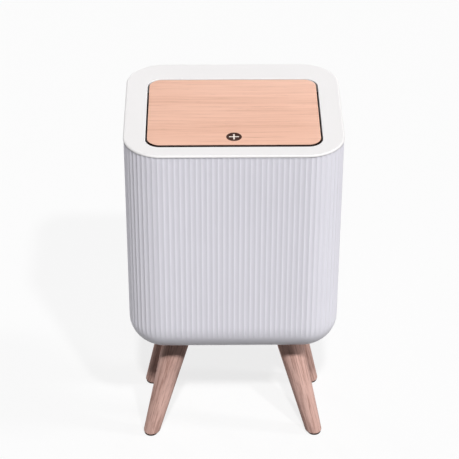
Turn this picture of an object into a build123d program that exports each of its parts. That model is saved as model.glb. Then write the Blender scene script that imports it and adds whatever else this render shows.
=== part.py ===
from build123d import *
import os
from math import cos, pi, sin

# Push-top bin: a ribbed tub on four splayed wooden legs, a lift-off cover and a sprung, latched lid.
# Millimetres. The floor is z = 0, +Z is up, the front faces -Y and +X is on the right of someone who
# stands before the bin. The origin is on the floor, below the middle of the tub.

# ---------------------------------------------------------------- the whole bin
width = 240.0                # over the cover, along X
depth = 198.0                # over the cover, along Y
height = 427.0               # floor to the top of the lid
corner_radius = 42.0         # of the cover, seen from above
leg_height = 152.0           # floor to the underside of the tub

# ---------------------------------------------------------------- tub
tub_inset = 0.5              # crests between the flutes behind the cover's edge
flute_pitch = 5.85           # spacing that the flutes come near to
flute_depth = 0.8
crest_clearance = 0.05       # between the crests and the block that rounds the bottom
flute_stop = 1.0             # plain band between the flutes' tops and the rim
wall = 2.0                   # at the bottoms of the flutes
tub_floor = 3.0
bottom_radius = 35.0         # outer edge between sides and floor
boss_radius = 19.0           # pads inside the tub, above the legs
boss_rise = 4.0              # of those pads above the floor
boss_bevel = 1.0
neck_wall = 3.0              # on the pads, round and over the legs' bushes
neck_cap = 1.8

# ---------------------------------------------------------------- legs and their fixings
leg_top_radius = 16.6
foot_radius = 9.5
lean_x = 0.250               # outward run of a leg for each millimetre down
lean_y = 0.118
leg_edge_gap = 7.0           # leg top to where the bottom starts to curve up
foot_rounding = 3.0
pad_height = 1.8             # foot pad, below the wood
pad_radius = 8.0
pad_bevel = 0.6
pad_spigot_radius = 2.4
pad_spigot_length = 8.0
spigot_radius = 14.5         # turned end of the leg, let into the tub
spigot_length = 3.0
spigot_flat = 11.5           # flat that keeps the leg from turning, from the spigot's middle
insert_radius = 4.0          # threaded bush in the tub's boss
insert_length = 8.0
insert_flange = 5.2
insert_flange_thickness = 0.8
leg_screw_radius = 3.0       # screw with two threaded ends, from the leg into the bush
leg_screw_grip = 7.0         # thread inside the bush
leg_screw_bite = 16.0        # thread inside the leg
leg_screw_bevel = 0.5
washer_radius = 8.0          # sealing washer, let into the leg's end
washer_thickness = 1.2
screw_bevel = 0.3            # of a small screw's head, as a share of its height

# ---------------------------------------------------------------- cover
plate = 2.0
edge_height = 2.4            # outer lip, from the cover's top to the tub's rim
edge_width = 2.6
edge_radius = 2.0
skirt_wall = 2.0             # locating skirt inside the tub
skirt_depth = 14.0
side_margin = 24.3           # cover's edge to the opening
front_margin = 18.6
rear_margin = 34.4
opening_radius = 16.0
opening_edge = 0.8
collar_wall = 2.0            # wall round the opening
collar_depth = 26.0
web_wall = 1.6               # stiffening webs between collar and skirt
web_depth = 8.0
rear_webs = 5
front_webs = 4
side_webs = 3
web_end = 30.0               # outermost webs from the opening's ends
side_web_shift = 7.5         # side webs forward of the opening's middle
tab_web = 4.0                # webs beside the latch tab, front to back

# ---------------------------------------------------------------- lid and hinge
lid_side_gap = 1.4
lid_end_gap = 2.4
lid_proud = 0.4
panel_thickness = 4.0        # with the facing
panel_edge = 0.4
facing_thickness = 0.5       # wood-look sheet on the panel
facing_inset = 0.5
tray_inset = 1.0
tray_plate = 2.0
tray_rib_depth = 5.0
tray_rib_wall = 1.6
cross_ribs = (-20.0, 12.0)   # along X, from the lid's middle
long_ribs = (-36.0, 36.0)    # along Y, from the lid's middle
hinge_inset = 18.0           # hinge axis ahead of the lid's rear edge
pin_radius = 1.5
knuckle_wall = 2.3
knuckle_length = 8.0
knuckle_places = (24.5, 80.5)
stop_width = 6.0             # shelves that the open lid comes to rest on
stop_places = (20.0, 60.0)
stop_start = 0.4             # from the open panel's face to the shelf's front edge
stop_thickness = 2.4
clip_radius = 3.6
clip_thickness = 0.8
clip_grip = 0.01             # clip's hole round the pin
pin_spare = 0.5              # pin beyond the clip
pin_bevel = 0.3
rib_clearance = 0.4          # tray's ribs round the pin
lid_screw_radius = 1.5
lid_screw_head = 2.8
lid_screw_head_height = 1.6
lid_screw_bite = 2.6         # into the panel
lid_screw_boss = 3.6
lid_screw_boss_depth = 2.4
lid_screw_places = [(x, y) for x in (-72.0, 0.0, 72.0) for y in (-30.0, 34.0)]
mark_radius = 8.4            # round press mark let into the lid
mark_from_front = 17.0
mark_recess = 1.0
mark_proud = 0.2
mark_rim = 1.7
mark_bar = 1.8               # width of the raised cross's bars
mark_reach = 5.4             # middle to the bars' ends

# ---------------------------------------------------------------- torsion springs on the hinge pin
coil_wire = 0.5              # radius of the wire
coil_loose = 0.7             # between the coil and the pin
coil_turns = 4.25
coil_pitch = 1.25
coil_from_wall = 2.7         # first turn to the opening's side
coil_bay = 8.8               # room in the tray, from the lid's side
coil_clearance = 1.5         # coil to the tray
arm_reach = 16.0
arm_bay = 5.0                # room for the arm along the pin
arm_clearance = 1.0
anchor_drop = 9.0
hook_short = 0.4             # hook's end to the collar's outer face

# ---------------------------------------------------------------- latch
latch_reach = 8.5            # collar's face to the plunger's axis
latch_half = 6.5             # half the housing's width
latch_height = 26.0
latch_floor = 3.0
latch_corner = 3.0
latch_ear = 16.0             # middle of the latch to the end of an ear
latch_ear_thickness = 3.0
latch_ear_height = 10.0
latch_screw_place = 11.0
latch_screw_radius = 1.5
latch_screw_head = 2.8
latch_screw_head_height = 1.6
plunger_radius = 4.0
plunger_bevel = 0.4
plunger_out = 4.5
plunger_in = 12.0
plunger_hollow = 2.8
plunger_hollow_depth = 10.0
magnet_radius = 3.0
magnet_height = 2.0
latch_spring_radius = 2.0
latch_spring_wire = 0.35
latch_spring_turns = 6
striker_width = 30.0
striker_depth = 9.6
striker_thickness = 1.0
striker_corner = 2.0
striker_screw_place = 11.0

# ---------------------------------------------------------------- clearances
loose = 0.4                  # skirt inside the tub
fit = 0.1                    # pieces that are set into each other
running = 0.05               # pin in its holes, all round
latch_gap = 0.3              # magnet to striker with the lid at rest
thread_gap = 0.05            # screws in the holes that they cut

# ---------------------------------------------------------------- levels and places that follow
cover_top = height - lid_proud
rim = cover_top - edge_height
plate_under = cover_top - plate
crest_x = width / 2 - tub_inset
crest_y = depth / 2 - tub_inset
crest_radius = corner_radius - tub_inset
valley_x = crest_x - flute_depth
valley_y = crest_y - flute_depth
valley_radius = crest_radius - flute_depth
inner_x = valley_x - wall
inner_y = valley_y - wall
inner_radius = valley_radius - wall
spigot_top = leg_height + spigot_length
recess_top = spigot_top + fit
boss_top = leg_height + tub_floor + boss_rise
neck_radius = insert_radius + neck_wall
neck_top = recess_top + insert_length + fit + neck_cap
leg_x = crest_x - bottom_radius - leg_edge_gap - leg_top_radius
leg_y = (crest_y - bottom_radius) / 2
foot_x = leg_x + lean_x * leg_height
foot_y = leg_y + lean_y * leg_height
corners = {"front_left": (-1, -1), "front_right": (1, -1), "rear_left": (-1, 1), "rear_right": (1, 1)}

opening_x = width / 2 - side_margin
opening_front = front_margin - depth / 2
opening_rear = depth / 2 - rear_margin
opening_mid = (opening_front + opening_rear) / 2
opening_y = (opening_rear - opening_front) / 2
lid_x = opening_x - lid_side_gap
lid_y = opening_y - lid_end_gap
lid_radius = opening_radius - lid_side_gap
lid_front = opening_mid - lid_y
lid_rear = opening_mid + lid_y
panel_top = height - facing_thickness
panel_under = height - panel_thickness
tray_under = panel_under - tray_plate
tray_bottom = tray_under - tray_rib_depth
knuckle_radius = pin_radius + knuckle_wall
coil_radius = pin_radius + coil_loose + coil_wire
hinge_y = lid_rear - hinge_inset
hinge_z = panel_under - knuckle_radius - fit
collar_bottom = plate_under - collar_depth
clip_face = opening_x + collar_wall + running
pin_end = clip_face + clip_thickness + pin_spare
latch_y = opening_front + latch_reach
plunger_top = tray_bottom - latch_gap
latch_top = plunger_top - plunger_out
latch_bottom = latch_top - latch_height
latch_middle = latch_bottom + latch_height / 2
mark_y = lid_front + mark_from_front


def rounded_block(half_x, half_y, radius, low, high, middle_y=0.0):
    """Upright block with rounded corners between two levels."""
    outline = RectangleRounded(2 * half_x, 2 * half_y, radius)
    return Pos(0, middle_y, low) * extrude(outline, high - low)


def rounded_ring(half_x, half_y, radius, thickness, low, high, middle_y=0.0):
    """Wall that stands inside a rounded rectangle's outline."""
    outer = rounded_block(half_x, half_y, radius, low, high, middle_y)
    inner_half_x = half_x - thickness
    inner_half_y = half_y - thickness
    return outer - rounded_block(inner_half_x, inner_half_y, radius - thickness, low, high, middle_y)


def box_between(low, high):
    """Box between two opposite corners."""
    size = [b - a for a, b in zip(low, high)]
    return Pos(*low) * Box(*size, align=(Align.MIN, Align.MIN, Align.MIN))


def rod(radius, low, high, x=0.0, y=0.0):
    """Upright round bar between two levels."""
    return Pos(x, y, low) * Cylinder(radius, high - low, align=(Align.CENTER, Align.CENTER, Align.MIN))


def cross_rod(radius, start, end):
    """Round bar along X on the hinge axis."""
    bar = Cylinder(radius, end - start, align=(Align.CENTER, Align.CENTER, Align.MIN))
    return Pos(start, hinge_y, hinge_z) * Rot(0, 90, 0) * bar


def spread(count, reach):
    """Evenly spaced places from -reach to reach."""
    return [reach * (2 * i / (count - 1) - 1) for i in range(count)]


# ---------------------------------------------------------------- tub
def walk(distance, half_x, half_y, radius):
    """Point and outward direction after a walk round a rounded rectangle from the middle of its front."""
    runs = [2 * (half_x - radius), 2 * (half_y - radius)] * 2
    turn = pi * radius / 2
    left = (distance + runs[0] / 2) % (sum(runs) + 4 * turn)
    at = Vector(radius - half_x, -half_y)
    for side, run in enumerate(runs):
        heading = side * pi / 2
        outward = Vector(sin(heading), -cos(heading))
        if left <= run:
            return at + Vector(cos(heading), sin(heading)) * left, outward
        left -= run
        at += Vector(cos(heading), sin(heading)) * run
        centre = at - outward * radius
        bend = heading + min(left / radius, pi / 2)
        outward = Vector(sin(bend), -cos(bend))
        at = centre + outward * radius
        if left <= turn:
            return at, outward
        left -= turn
    return at, outward


def fluted_outline():
    """Closed outline of shallow hollow flutes, which meet in crests round the tub."""
    length = 4 * (crest_x + crest_y) - (8 - 2 * pi) * crest_radius
    count = 4 * round(length / flute_pitch / 4)
    step = length / count
    flutes = []
    for i in range(count):
        start, _ = walk(i * step, crest_x, crest_y, crest_radius)
        middle, outward = walk((i + 0.5) * step, crest_x, crest_y, crest_radius)
        end, _ = walk((i + 1) % count * step, crest_x, crest_y, crest_radius)
        flutes.append(ThreePointArc(start, middle - outward * flute_depth, end))
    return make_face(Wire(flutes))


def round_bottom(block, radius):
    """Rounds the edge round a block's lowest face."""
    return fillet(block.faces().sort_by(Axis.Z)[0].edges(), radius)


def leg_spigot(sx, sy, radius, low, high, flat):
    """Round end with one flat, which faces the middle of the tub."""
    x = sx * leg_x
    spigot = rod(radius, low, high, x, sy * leg_y)
    beyond = sx * 2 * radius
    cut_x = sorted([x - sx * flat, x - sx * flat - beyond])
    reach = sy * leg_y
    return spigot - box_between((cut_x[0], reach - radius, low), (cut_x[1], reach + radius, high))


def bevelled_rod(radius, low, high, x, y, bevel):
    """Upright round bar with a bevelled upper edge."""
    return chamfer(rod(radius, low, high, x, y).faces().sort_by(Axis.Z)[-1].edges(), bevel)


def ribbed_body():
    """Tub: ribs between hollow flutes fade into the rounded bottom, the inside is smooth."""
    flutes = Pos(0, 0, leg_height) * extrude(fluted_outline(), rim - flute_stop - leg_height)
    outline = [size + crest_clearance for size in (crest_x, crest_y, crest_radius)]
    tub = flutes & round_bottom(rounded_block(*outline, leg_height, rim), bottom_radius)
    band = [size - flute_depth / 2 for size in (crest_x, crest_y, crest_radius)]
    tub += rounded_block(*band, rim - 2 * flute_stop, rim)
    cavity = rounded_block(inner_x, inner_y, inner_radius, leg_height + tub_floor, rim)
    tub -= round_bottom(cavity, bottom_radius - flute_depth - wall)
    for sx, sy in corners.values():
        x = sx * leg_x
        y = sy * leg_y
        tub += bevelled_rod(boss_radius, leg_height + tub_floor / 2, boss_top, x, y, boss_bevel)
        tub += bevelled_rod(neck_radius, recess_top, neck_top, x, y, boss_bevel)
        tub -= leg_spigot(sx, sy, spigot_radius + fit, leg_height, recess_top, spigot_flat + fit)
        tub -= rod(insert_radius + thread_gap, recess_top, neck_top - neck_cap, x, y)
        flange_top = recess_top + insert_flange_thickness + thread_gap
        tub -= rod(insert_flange + thread_gap, recess_top, flange_top, x, y)
    return tub


# ---------------------------------------------------------------- legs
def leg(sx, sy):
    """Tapered, splayed leg, level at both ends, with a turned spigot on top."""
    foot = Vector(sx * foot_x, sy * foot_y, 0)
    top = Vector(sx * leg_x, sy * leg_y, leg_height)
    along = top - foot
    spare = leg_top_radius
    taper = (leg_top_radius - foot_radius) / along.length * spare
    cone = Cone(
        foot_radius - taper,
        leg_top_radius + taper,
        along.length + 2 * spare,
        align=(Align.CENTER, Align.CENTER, Align.MIN),
    )
    wood = Plane(origin=foot, z_dir=along).location * Pos(0, 0, -spare) * cone
    wood &= box_between((-width, -depth, pad_height), (width, depth, leg_height))
    wood = fillet(wood.edges().sort_by(Axis.Z)[0], foot_rounding)
    wood += leg_spigot(sx, sy, spigot_radius, leg_height - spigot_length, spigot_top, spigot_flat)
    screw_low = spigot_top - leg_screw_bite - fit
    wood -= rod(leg_screw_radius + thread_gap, screw_low, spigot_top, sx * leg_x, sy * leg_y)
    washer_low = recess_top - washer_thickness
    wood -= rod(washer_radius + fit, washer_low, spigot_top, sx * leg_x, sy * leg_y)
    hole_top = pad_height + pad_spigot_length + fit
    return wood - rod(pad_spigot_radius + thread_gap, 0, hole_top, sx * foot_x, sy * foot_y)


def foot_pad(sx, sy):
    """Hard rubber disc with a spigot that is pushed into the foot."""
    x = sx * foot_x
    y = sy * foot_y
    pad = rod(pad_radius, 0, pad_height, x, y)
    pad = chamfer(pad.edges().sort_by(Axis.Z)[0], pad_bevel)
    return pad + rod(pad_spigot_radius, pad_height / 2, pad_height + pad_spigot_length, x, y)


def leg_insert(sx, sy):
    """Flanged brass bush in the tub's boss, with the thread for the leg's screw."""
    x = sx * leg_x
    y = sy * leg_y
    top = recess_top + insert_length
    bush = rod(insert_radius, recess_top, top, x, y)
    bush += rod(insert_flange, recess_top, recess_top + insert_flange_thickness, x, y)
    return bush - rod(leg_screw_radius + thread_gap, recess_top, top, x, y)


def leg_washer(sx, sy):
    """Sealing washer between the leg's end and the tub."""
    low = recess_top - washer_thickness
    ring = rod(washer_radius, low, recess_top, sx * leg_x, sy * leg_y)
    return ring - rod(leg_screw_radius + fit, low, recess_top, sx * leg_x, sy * leg_y)


def leg_screw(sx, sy):
    """Screw fixed in the leg's end, which turns into the bush."""
    screw = rod(leg_screw_radius, spigot_top - leg_screw_bite, recess_top + leg_screw_grip)
    return Pos(sx * leg_x, sy * leg_y, 0) * chamfer(screw.edges().filter_by(GeomType.CIRCLE), leg_screw_bevel)


def pan_screw(radius, length, head_radius, head_height):
    """Screw with a bevelled head: the head's seat is at z = 0 and the shank points down."""
    head = rod(head_radius, 0, head_height)
    head = chamfer(head.edges().sort_by(Axis.Z)[-1], screw_bevel * head_height)
    return head + rod(radius, -length, head_height / 2)


# ---------------------------------------------------------------- cover
def webs():
    """Stiffening webs under the plate, from the collar out to the skirt."""
    low = plate_under - web_depth
    skirt_x = inner_x - loose - skirt_wall / 2
    skirt_y = inner_y - loose - skirt_wall / 2
    half = web_wall / 2
    made = []
    for x in spread(rear_webs, opening_x - web_end):
        start = opening_rear + collar_wall / 2
        made.append(box_between((x - half, start, low), (x + half, skirt_y, plate_under)))
    for x in spread(front_webs, opening_x - web_end):
        end = opening_front - collar_wall / 2
        made.append(box_between((x - half, -skirt_y, low), (x + half, end, plate_under)))
    for y in spread(side_webs, opening_y - web_end):
        at = y + opening_mid - side_web_shift
        start = opening_x + collar_wall / 2
        made.append(box_between((start, at - half, low), (skirt_x, at + half, plate_under)))
        made.append(box_between((-skirt_x, at - half, low), (-start, at + half, plate_under)))
    return made


def lid_stops():
    """Shelves on the collar's rear wall, which the open lid's rear edge comes down on."""
    front = hinge_y + panel_under - hinge_z + stop_start
    top = hinge_z - hinge_inset - running
    made = []
    for place in stop_places:
        for x in (-place, place):
            low = (x - stop_width / 2, front, top - stop_thickness)
            high = (x + stop_width / 2, opening_rear + collar_wall / 2, top)
            made.append(box_between(low, high))
    return made


def latch_tab():
    """Front of the collar, carried down to hold the latch, with a web at each side."""
    back = opening_front - collar_wall
    tab = box_between((-latch_ear, back, latch_bottom), (latch_ear, opening_front, plate_under))
    for x in (-latch_ear, latch_ear - web_wall):
        tab += box_between((x, back - tab_web, latch_bottom), (x + web_wall, back, plate_under))
    return tab


def top_cover():
    """Frame that lifts off the tub: outer lip, locating skirt, collar, webs, stops and latch tab."""
    body = rounded_block(width / 2, depth / 2, corner_radius, rim, cover_top)
    body = fillet(body.faces().sort_by(Axis.Z)[-1].edges(), edge_radius)
    lip_x = width / 2 - edge_width
    lip_y = depth / 2 - edge_width
    body -= rounded_block(lip_x, lip_y, corner_radius - edge_width, rim, plate_under)
    skirt = (inner_x - loose, inner_y - loose, inner_radius - loose)
    body += rounded_ring(*skirt, skirt_wall, rim - skirt_depth, plate_under)
    collar = (opening_x + collar_wall, opening_y + collar_wall, opening_radius + collar_wall)
    body += rounded_ring(*collar, collar_wall, collar_bottom, plate_under, opening_mid)
    for web in webs():
        body += web
    opening = rounded_block(opening_x, opening_y, opening_radius, latch_bottom, cover_top, opening_mid)
    body -= opening
    body = fillet(body.faces().sort_by(Axis.Z)[-1].inner_wires()[0].edges(), opening_edge)
    body += latch_tab()
    for stop in lid_stops():
        body += stop
    outside = opening_x + collar_wall
    body -= cross_rod(pin_radius + running, -outside, outside)
    for side in (-1, 1):
        hole = Rot(0, 90, 0) * Cylinder(coil_wire + 2 * fit, 4 * collar_wall)
        body -= Pos(side * outside, hinge_y + coil_radius, hinge_z - anchor_drop) * hole
        pilot = Rot(90, 0, 0) * Cylinder(latch_screw_radius + thread_gap, 4 * collar_wall)
        body -= Pos(side * latch_screw_place, opening_front - collar_wall, latch_middle) * pilot
    return body


# ---------------------------------------------------------------- lid
def lid_panel():
    """Stiff panel under the facing, with the seat of the press mark and the screws' pilot holes."""
    panel = rounded_block(lid_x, lid_y, lid_radius, panel_under, panel_top, opening_mid)
    panel = fillet(panel.faces().sort_by(Axis.Z)[-1].edges(), panel_edge)
    panel -= rod(mark_radius + fit, height - mark_recess, panel_top, 0, mark_y)
    for x, y in lid_screw_places:
        pilot_top = panel_under + lid_screw_bite + fit
        panel -= rod(lid_screw_radius + thread_gap, panel_under, pilot_top, x, opening_mid + y)
    return panel


def lid_facing():
    """Wood-look sheet on the panel, with a hole for the press mark."""
    half_x = lid_x - facing_inset
    half_y = lid_y - facing_inset
    sheet = rounded_block(half_x, half_y, lid_radius - facing_inset, panel_top, height, opening_mid)
    return sheet - rod(mark_radius + fit, panel_top, height, 0, mark_y)


def press_mark():
    """Round mark that shows where to press, with a raised rim and a raised cross."""
    top = height + mark_proud
    disc = rod(mark_radius, height - mark_recess, top, 0, mark_y)
    disc = chamfer(disc.edges().sort_by(Axis.Z)[-1], mark_proud)
    disc -= rod(mark_radius - mark_rim, height - mark_proud, top, 0, mark_y)
    half = mark_bar / 2
    for x, y in ((mark_reach, half), (half, mark_reach)):
        low = (-x, mark_y - y, height - 2 * mark_proud)
        disc += box_between(low, (x, mark_y + y, top))
    return disc


def tray_ribs():
    """Ribs under the tray: one all round, two across and two along."""
    outline = (lid_x - tray_inset, lid_y - tray_inset, lid_radius - tray_inset)
    made = [rounded_ring(*outline, tray_rib_wall, tray_bottom, tray_under, opening_mid)]
    half = tray_rib_wall / 2
    reach_x = lid_x - tray_inset - half
    reach_y = lid_y - tray_inset - half
    for y in cross_ribs:
        at = opening_mid + y
        made.append(box_between((-reach_x, at - half, tray_bottom), (reach_x, at + half, tray_under)))
    for x in long_ribs:
        low = (x - half, opening_mid - reach_y, tray_bottom)
        made.append(box_between(low, (x + half, opening_mid + reach_y, tray_under)))
    return made


def lid_tray():
    """Moulded carrier below the panel, with knuckles, spring bays and the striker's seat."""
    half_x = lid_x - tray_inset
    half_y = lid_y - tray_inset
    tray = rounded_block(half_x, half_y, lid_radius - tray_inset, tray_under, panel_under, opening_mid)
    for rib in tray_ribs():
        tray += rib
    for x, y in lid_screw_places:
        tray += rod(lid_screw_boss, tray_under - lid_screw_boss_depth, tray_under, x, opening_mid + y)
    block_x = striker_width / 2 + tray_rib_wall
    block_back = latch_y + striker_depth / 2 + tray_rib_wall
    tray += box_between((-block_x, lid_front + tray_inset, tray_bottom), (block_x, block_back, tray_under))
    tray -= cross_rod(pin_radius + rib_clearance, -half_x, half_x)
    for side in (-1, 1):
        bay_x = sorted([side * (half_x + tray_inset), side * (lid_x - coil_bay)])
        bay_front = hinge_y - coil_radius - coil_clearance
        tray -= box_between((bay_x[0], bay_front, tray_bottom), (bay_x[1], lid_rear, panel_under))
        arm_x = sorted([side * (lid_x - coil_bay), side * (lid_x - coil_bay + arm_bay)])
        arm_front = hinge_y - arm_reach - arm_clearance
        tray -= box_between((arm_x[0], arm_front, tray_bottom), (arm_x[1], bay_front, panel_under))
        for place in knuckle_places:
            start = side * place - knuckle_length / 2
            tray += cross_rod(knuckle_radius, start, start + knuckle_length)
    tray -= cross_rod(pin_radius + running, -half_x, half_x)
    for x, y in lid_screw_places:
        low = tray_under - lid_screw_boss_depth
        tray -= rod(lid_screw_radius + fit, low, panel_under, x, opening_mid + y)
    seat_x = striker_width / 2 + fit
    seat_y = striker_depth / 2 + fit
    seat_top = tray_bottom + striker_thickness
    tray -= box_between((-seat_x, latch_y - seat_y, tray_bottom), (seat_x, latch_y + seat_y, seat_top))
    for x in (-striker_screw_place, striker_screw_place):
        tray -= rod(lid_screw_radius + thread_gap, tray_bottom, tray_under, x, latch_y)
    return tray


def lid_screw(x, y):
    """Screw through the tray into the panel, driven from below."""
    seat = tray_under - lid_screw_boss_depth
    length = panel_under - seat + lid_screw_bite
    screw = pan_screw(lid_screw_radius, length, lid_screw_head, lid_screw_head_height)
    return Pos(x, opening_mid + y, seat) * Rot(180, 0, 0) * screw


def striker_plate():
    """Steel plate that the latch's magnet holds."""
    low = (-striker_width / 2, latch_y - striker_depth / 2, tray_bottom)
    high = (striker_width / 2, latch_y + striker_depth / 2, tray_bottom + striker_thickness)
    steel = fillet(box_between(low, high).edges().filter_by(Axis.Z), striker_corner)
    for x in (-striker_screw_place, striker_screw_place):
        steel -= rod(lid_screw_radius + fit, low[2], high[2], x, latch_y)
    return steel


def striker_screw(x):
    """Screw that holds the striker plate to the tray."""
    length = tray_under - tray_bottom - fit
    screw = pan_screw(lid_screw_radius, length, lid_screw_head, lid_screw_head_height)
    return Pos(x, latch_y, tray_bottom) * Rot(180, 0, 0) * screw


# ---------------------------------------------------------------- hinge
def hinge_pin():
    """Steel rod through the collar's side walls and the tray's knuckles."""
    return chamfer(cross_rod(pin_radius, -pin_end, pin_end).edges(), pin_bevel)


def hinge_clip(side):
    """Push-on clip that keeps the rod in place, outside the collar."""
    faces = sorted([side * clip_face, side * (clip_face + clip_thickness)])
    return cross_rod(clip_radius, *faces) - cross_rod(pin_radius + clip_grip, *faces)


def coiled_wire(radius, wire, pitch, turns, lefthand=False):
    """Square wire wound about Z, from z = 0 upwards."""
    path = Helix(pitch=pitch, height=pitch * turns, radius=radius, lefthand=lefthand)
    section = Plane(origin=path @ 0, z_dir=path % 0) * RegularPolygon(wire, 4)
    return sweep(section, path=path, is_frenet=True)


def torsion_spring(side):
    """Spring on the pin: one arm under the panel, the other hooked into the collar's side."""
    outer = opening_x - coil_from_wall
    inner = outer - coil_pitch * coil_turns
    coil = Rot(0, 0, 90) * coiled_wire(coil_radius, coil_wire, coil_pitch, coil_turns, True)
    spring = Pos(outer, hinge_y, hinge_z) * Rot(0, -90, 0) * coil
    hook_z = hinge_z - anchor_drop
    spring += rod(coil_wire, hook_z - coil_wire, hinge_z + coil_wire, outer, hinge_y + coil_radius)
    hook = rod(coil_wire, 0, coil_from_wall + collar_wall - hook_short)
    spring += Pos(outer, hinge_y + coil_radius, hook_z) * Rot(0, 90, 0) * hook
    arm = rod(coil_wire, -coil_wire, arm_reach)
    spring += Pos(inner, hinge_y, hinge_z + coil_radius) * Rot(90, 0, 0) * arm
    return mirror(spring, Plane.YZ) if side < 0 else spring


# ---------------------------------------------------------------- latch
def latch_housing():
    """Latch body with two ears, screwed to the tab below the cover's front."""
    back = latch_y + latch_half
    block = box_between((-latch_half, opening_front, latch_bottom), (latch_half, back, latch_top))
    rear_edges = block.edges().filter_by(Axis.Z).sort_by(Axis.Y)[-2:]
    block = fillet(rear_edges, latch_corner)
    ear_low = (-latch_ear, opening_front, latch_middle - latch_ear_height / 2)
    ear_high = (latch_ear, opening_front + latch_ear_thickness, latch_middle + latch_ear_height / 2)
    ears = fillet(box_between(ear_low, ear_high).edges().filter_by(Axis.Y), latch_corner)
    housing = block + ears
    housing -= rod(plunger_radius + fit, latch_bottom + latch_floor, latch_top, 0, latch_y)
    for x in (-latch_screw_place, latch_screw_place):
        hole = Rot(90, 0, 0) * Cylinder(latch_screw_radius + fit, 4 * latch_ear_thickness)
        housing -= Pos(x, opening_front, latch_middle) * hole
    return housing


def latch_plunger():
    """Hollow plunger with a seat for the magnet in its tip."""
    low = latch_top - plunger_in
    plunger = rod(plunger_radius, low, plunger_top, 0, latch_y)
    plunger = chamfer(plunger.edges().sort_by(Axis.Z)[-1], plunger_bevel)
    plunger -= rod(magnet_radius + thread_gap, plunger_top - magnet_height, plunger_top, 0, latch_y)
    return plunger - rod(plunger_hollow, low, low + plunger_hollow_depth, 0, latch_y)


def latch_magnet():
    """Magnet in the plunger's tip."""
    return rod(magnet_radius, plunger_top - magnet_height, plunger_top, 0, latch_y)


def latch_spring():
    """Compression spring from the housing's floor into the hollow plunger."""
    low = latch_bottom + latch_floor + latch_spring_wire + running
    high = latch_top - plunger_in + plunger_hollow_depth - latch_spring_wire - running
    pitch = (high - low) / latch_spring_turns
    coil = coiled_wire(latch_spring_radius, latch_spring_wire, pitch, latch_spring_turns)
    return Pos(0, latch_y, low) * coil


def latch_screw(x):
    """Screw through an ear of the latch into the cover's tab."""
    length = latch_ear_thickness + collar_wall
    screw = pan_screw(latch_screw_radius, length, latch_screw_head, latch_screw_head_height)
    return Pos(x, opening_front + latch_ear_thickness, latch_middle) * Rot(-90, 0, 0) * screw


def group(solids):
    """Separate like solids that share one node."""
    return Compound(children=[Part(s.wrapped) if not isinstance(s, Compound) else s for s in solids])


nodes = {
    "ribbed_body": ribbed_body(),
    "top_cover": top_cover(),
    "lid_panel": lid_panel(),
    "lid_facing": lid_facing(),
    "lid_tray": lid_tray(),
}
for name, (sx, sy) in corners.items():
    nodes[name + "_leg"] = leg(sx, sy)
    nodes[name + "_foot_pad"] = foot_pad(sx, sy)
nodes["leg_inserts"] = group([leg_insert(sx, sy) for sx, sy in corners.values()])
nodes["leg_washers"] = group([leg_washer(sx, sy) for sx, sy in corners.values()])
nodes["leg_screws"] = group([leg_screw(sx, sy) for sx, sy in corners.values()])
nodes["press_mark"] = press_mark()
nodes["lid_screws"] = group([lid_screw(x, y) for x, y in lid_screw_places])
nodes["striker_plate"] = striker_plate()
nodes["striker_screws"] = group([striker_screw(x) for x in (-striker_screw_place, striker_screw_place)])
nodes["hinge_pin"] = hinge_pin()
nodes["hinge_clips"] = group([hinge_clip(-1), hinge_clip(1)])
nodes["left_torsion_spring"] = torsion_spring(-1)
nodes["right_torsion_spring"] = torsion_spring(1)
nodes["latch_housing"] = latch_housing()
nodes["latch_plunger"] = latch_plunger()
nodes["latch_magnet"] = latch_magnet()
nodes["latch_spring"] = latch_spring()
nodes["latch_screws"] = group([latch_screw(x) for x in (-latch_screw_place, latch_screw_place)])

os.makedirs("parts", exist_ok=True)
for name, shape in nodes.items():
    export_step(shape, f"parts/{name}.step")
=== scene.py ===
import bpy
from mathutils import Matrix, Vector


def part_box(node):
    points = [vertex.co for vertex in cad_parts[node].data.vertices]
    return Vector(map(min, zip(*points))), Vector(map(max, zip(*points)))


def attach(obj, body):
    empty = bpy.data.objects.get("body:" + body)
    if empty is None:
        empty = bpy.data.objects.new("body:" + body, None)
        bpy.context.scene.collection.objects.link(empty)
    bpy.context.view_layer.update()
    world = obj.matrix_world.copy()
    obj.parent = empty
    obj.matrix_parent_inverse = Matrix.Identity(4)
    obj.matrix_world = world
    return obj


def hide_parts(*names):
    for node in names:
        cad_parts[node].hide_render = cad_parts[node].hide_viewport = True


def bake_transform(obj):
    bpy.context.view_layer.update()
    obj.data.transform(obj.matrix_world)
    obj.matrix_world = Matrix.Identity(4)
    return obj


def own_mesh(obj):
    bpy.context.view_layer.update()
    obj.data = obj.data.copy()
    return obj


bl_info = {
    "name": "Push-top bin",
    "version": (1, 0, 0),
    "blender": (4, 5, 0),
    "location": "3D View > Sidebar > Bin",
    "description": "Makes the visible pieces of a push-top bin around its fixed frame",
    "category": "Object",
}

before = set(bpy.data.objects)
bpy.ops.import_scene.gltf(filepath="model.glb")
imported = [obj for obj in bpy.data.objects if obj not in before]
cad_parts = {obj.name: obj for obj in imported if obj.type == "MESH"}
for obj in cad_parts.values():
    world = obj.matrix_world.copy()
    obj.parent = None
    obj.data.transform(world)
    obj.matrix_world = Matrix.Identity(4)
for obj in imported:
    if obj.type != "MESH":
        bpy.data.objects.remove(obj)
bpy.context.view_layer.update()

from math import cos, pi, radians, sin

import bmesh
import bpy
import numpy as np
from bpy.props import FloatProperty, FloatVectorProperty
from mathutils import Matrix, Vector

TUB_LOW, TUB_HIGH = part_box("ribbed_body")
CORNERS = {
    "front_left": (-1, -1),
    "front_right": (1, -1),
    "rear_left": (-1, 1),
    "rear_right": (1, 1),
}
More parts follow.
